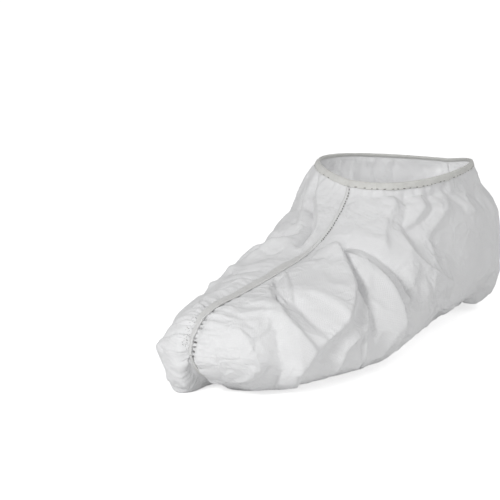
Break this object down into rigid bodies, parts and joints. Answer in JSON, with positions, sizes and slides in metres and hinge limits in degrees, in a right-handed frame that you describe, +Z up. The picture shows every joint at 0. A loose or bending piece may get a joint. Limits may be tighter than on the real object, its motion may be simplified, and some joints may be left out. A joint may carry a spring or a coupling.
{
  "type": "shoe cover",
  "caption": "Disposable overshoe of thin white nonwoven cloth with an elastic ankle opening and a taped seam over the instep and round the toe.",
  "frame": {"origin": "middle of the footprint, on the surface that the sole rests on", "axes": "+X from the toe towards the heel, +Z up; the near panel is on the -Y side, which is the wearer's left"},
  "size_m": [0.3508, 0.1423, 0.1137],
  "materials": {
    "panel_cloth": "matt white spunbonded nonwoven with a fine embossed grid",
    "trim_cloth": "matt off-white binding tape, sewn, elastic at the ankle"
  },
  "bodies": {
    "root": {"near_panel": "panel_cloth", "far_panel": "panel_cloth", "seam_tape": "trim_cloth", "ankle_binding": "trim_cloth"}
  },
  "joints": []
}
